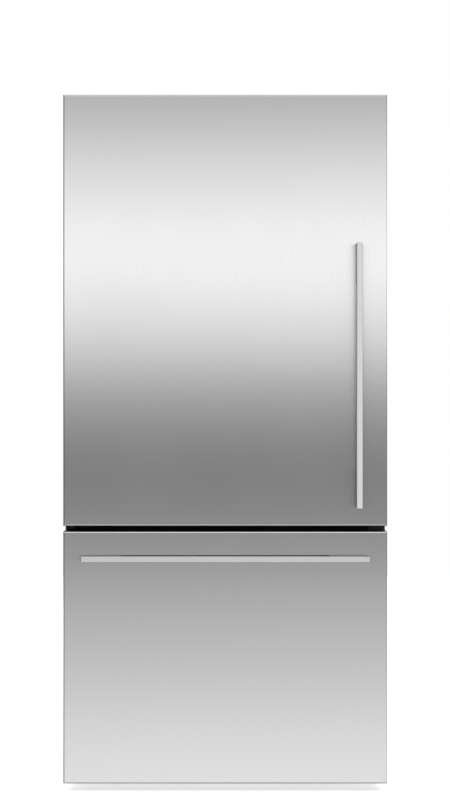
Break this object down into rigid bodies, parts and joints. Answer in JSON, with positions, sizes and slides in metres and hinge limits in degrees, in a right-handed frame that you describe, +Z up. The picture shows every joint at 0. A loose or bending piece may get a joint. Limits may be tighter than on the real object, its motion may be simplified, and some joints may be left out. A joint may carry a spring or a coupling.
{
  "type": "bottom freezer refrigerator",
  "caption": "Tall brushed-steel refrigerator with a left-hinged upper door over a pull-out freezer drawer, straight bar handles and a fitted interior.",
  "frame": {"origin": "on the floor under the middle of the overall footprint, handles included", "axes": "+Z up, -Y out of the door towards the user, +X to the user's right when facing the door"},
  "size_m": [0.79, 0.742, 1.7],
  "materials": {
    "brushed_stainless": "satin",
    "handle_stainless": "satin",
    "cabinet_paint": "matte",
    "galvanised_steel": "satin",
    "insulation_foam": "matte",
    "liner_white": "gloss",
    "black_steel": "satin",
    "zinc_steel": "satin",
    "shelf_trim": "satin",
    "shelf_glass": "gloss",
    "bare_aluminium": "satin",
    "compressor_black": "satin",
    "black_rubber": "matte",
    "dark_plastic": "matte",
    "clear_plastic": "gloss",
    "white_plastic": "satin",
    "button_grey": "satin",
    "cap_plastic": "matte",
    "gasket_rubber": "matte"
  },
  "bodies": {
    "cabinet": {"cabinet_shell": "cabinet_paint", "back_panel": "galvanised_steel", "base_frame": "galvanised_steel", "cabinet_foam": "insulation_foam", "fridge_liner": "liner_white", "freezer_liner": "liner_white", "mullion_rail": "black_steel", "hinge_brackets": "black_steel", "cabinet_fasteners": "zinc_steel", "hinge_cover": "cabinet_paint", "runner_fixed": "zinc_steel", "shelf_frames": "shelf_trim", "shelf_glass": "shelf_glass", "duct_cover": "liner_white", "control_panel": "liner_white", "evaporator_cover": "liner_white", "evaporator_coil": "bare_aluminium", "fan_motors": "black_steel", "compressor": "compressor_black", "compressor_mounts": "black_rubber", "condenser": "compressor_black", "fan_shroud": "dark_plastic", "drip_tray": "dark_plastic", "rear_covers": "galvanised_steel", "cord_gland": "black_rubber", "control_board": "dark_plastic", "roller_brackets": "zinc_steel", "toe_grille": "dark_plastic"},
    "door": {"door_skin": "brushed_stainless", "door_end_caps": "cap_plastic", "door_foam": "insulation_foam", "door_liner": "liner_white", "door_gasket": "gasket_rubber", "door_handle": "handle_stainless", "dairy_box": "white_plastic"},
    "freezer_drawer": {"drawer_skin": "brushed_stainless", "drawer_end_caps": "cap_plastic", "drawer_foam": "insulation_foam", "drawer_liner": "liner_white", "drawer_gasket": "gasket_rubber", "drawer_handle": "handle_stainless", "drawer_rails": "zinc_steel", "freezer_basket": "white_plastic"},
    "middle_runners": {"runner_middle": "zinc_steel"},
    "sliding_tray": {"freezer_tray": "white_plastic"},
    "crisper_right": {"crisper_right": "clear_plastic"},
    "crisper_left": {"crisper_left": "clear_plastic"},
    "humidity_slider_right": {"humidity_slider_right": "white_plastic"},
    "humidity_slider_left": {"humidity_slider_left": "white_plastic"},
    "button_1": {"button_1": "button_grey"},
    "button_2": {"button_2": "button_grey"},
    "door_bin_bottom": {"door_bin_bottom": "clear_plastic"},
    "door_bin_lower": {"door_bin_lower": "clear_plastic"},
    "door_bin_upper": {"door_bin_upper": "clear_plastic"},
    "dairy_flap": {"dairy_flap": "clear_plastic"},
    "evaporator_fan": {"evaporator_fan": "dark_plastic"},
    "machine_fan": {"machine_fan": "dark_plastic"},
    "front_foot_left": {"front_foot_left": "dark_plastic"},
    "front_foot_right": {"front_foot_right": "dark_plastic"},
    "rear_rollers": {"rear_rollers": "black_rubber"}
  },
  "joints": [
    {"name": "door_hinge", "type": "hinge", "parent": "cabinet", "child": "door", "pos_m": [-0.377, -0.294, 0.642], "axis": [0, 0, -1], "range_deg": [0, 105]},
    {"name": "drawer_slide", "type": "slide", "parent": "cabinet", "child": "freezer_drawer", "axis": [0, -1, 0], "range_m": [0, 0.38]},
    {"name": "middle_runner_slide", "type": "slide", "parent": "cabinet", "child": "middle_runners", "axis": [0, -1, 0], "range_m": [0, 0.19]},
    {"name": "tray_slide", "type": "slide", "parent": "freezer_drawer", "child": "sliding_tray", "axis": [0, 1, 0], "range_m": [0, 0.12]},
    {"name": "crisper_right_slide", "type": "slide", "parent": "cabinet", "child": "crisper_right", "axis": [0, -1, 0], "range_m": [0, 0.055]},
    {"name": "crisper_left_slide", "type": "slide", "parent": "cabinet", "child": "crisper_left", "axis": [0, -1, 0], "range_m": [0, 0.055]},
    {"name": "humidity_slide_right", "type": "slide", "parent": "cabinet", "child": "humidity_slider_right", "axis": [1, 0, 0], "range_m": [0, 0.03]},
    {"name": "humidity_slide_left", "type": "slide", "parent": "cabinet", "child": "humidity_slider_left", "axis": [-1, 0, 0], "range_m": [0, 0.03]},
    {"name": "button_1_press", "type": "slide", "parent": "cabinet", "child": "button_1", "axis": [0, 1, 0], "range_m": [0, 0.0015], "stiffness_N_per_m": 400, "springref_m": -0.001},
    {"name": "button_2_press", "type": "slide", "parent": "cabinet", "child": "button_2", "axis": [0, 1, 0], "range_m": [0, 0.0015], "stiffness_N_per_m": 400, "springref_m": -0.001},
    {"name": "bin_bottom_lift", "type": "slide", "parent": "door", "child": "door_bin_bottom", "axis": [0, 0, 1], "range_m": [0, 0.025]},
    {"name": "bin_lower_lift", "type": "slide", "parent": "door", "child": "door_bin_lower", "axis": [0, 0, 1], "range_m": [0, 0.025]},
    {"name": "bin_upper_lift", "type": "slide", "parent": "door", "child": "door_bin_upper", "axis": [0, 0, 1], "range_m": [0, 0.025]},
    {"name": "dairy_flap_hinge", "type": "hinge", "parent": "door", "child": "dairy_flap", "pos_m": [-0.154, -0.171, 1.562], "axis": [1, 0, 0], "range_deg": [0, 85]},
    {"name": "evaporator_fan_spin", "type": "hinge", "parent": "cabinet", "child": "evaporator_fan", "pos_m": [0, 0.252, 0.529], "axis": [0, 1, 0], "continuous": true},
    {"name": "machine_fan_spin", "type": "hinge", "parent": "cabinet", "child": "machine_fan", "pos_m": [0.02, 0.268, 0.1355], "axis": [1, 0, 0], "continuous": true},
    {"name": "foot_left_turn", "type": "hinge", "parent": "cabinet", "child": "front_foot_left", "pos_m": [-0.33, -0.17, 0], "axis": [0, 0, 1], "range_deg": [-360, 360]},
    {"name": "foot_right_turn", "type": "hinge", "parent": "cabinet", "child": "front_foot_right", "pos_m": [0.33, -0.17, 0], "axis": [0, 0, 1], "range_deg": [-360, 360]},
    {"name": "rear_rollers_roll", "type": "hinge", "parent": "cabinet", "child": "rear_rollers", "pos_m": [0, 0.337, 0.017], "axis": [1, 0, 0], "continuous": true}
  ],
  "couplings": [
    {"joint": "middle_runner_slide", "follows": "drawer_slide", "ratio": 0.5}
  ]
}
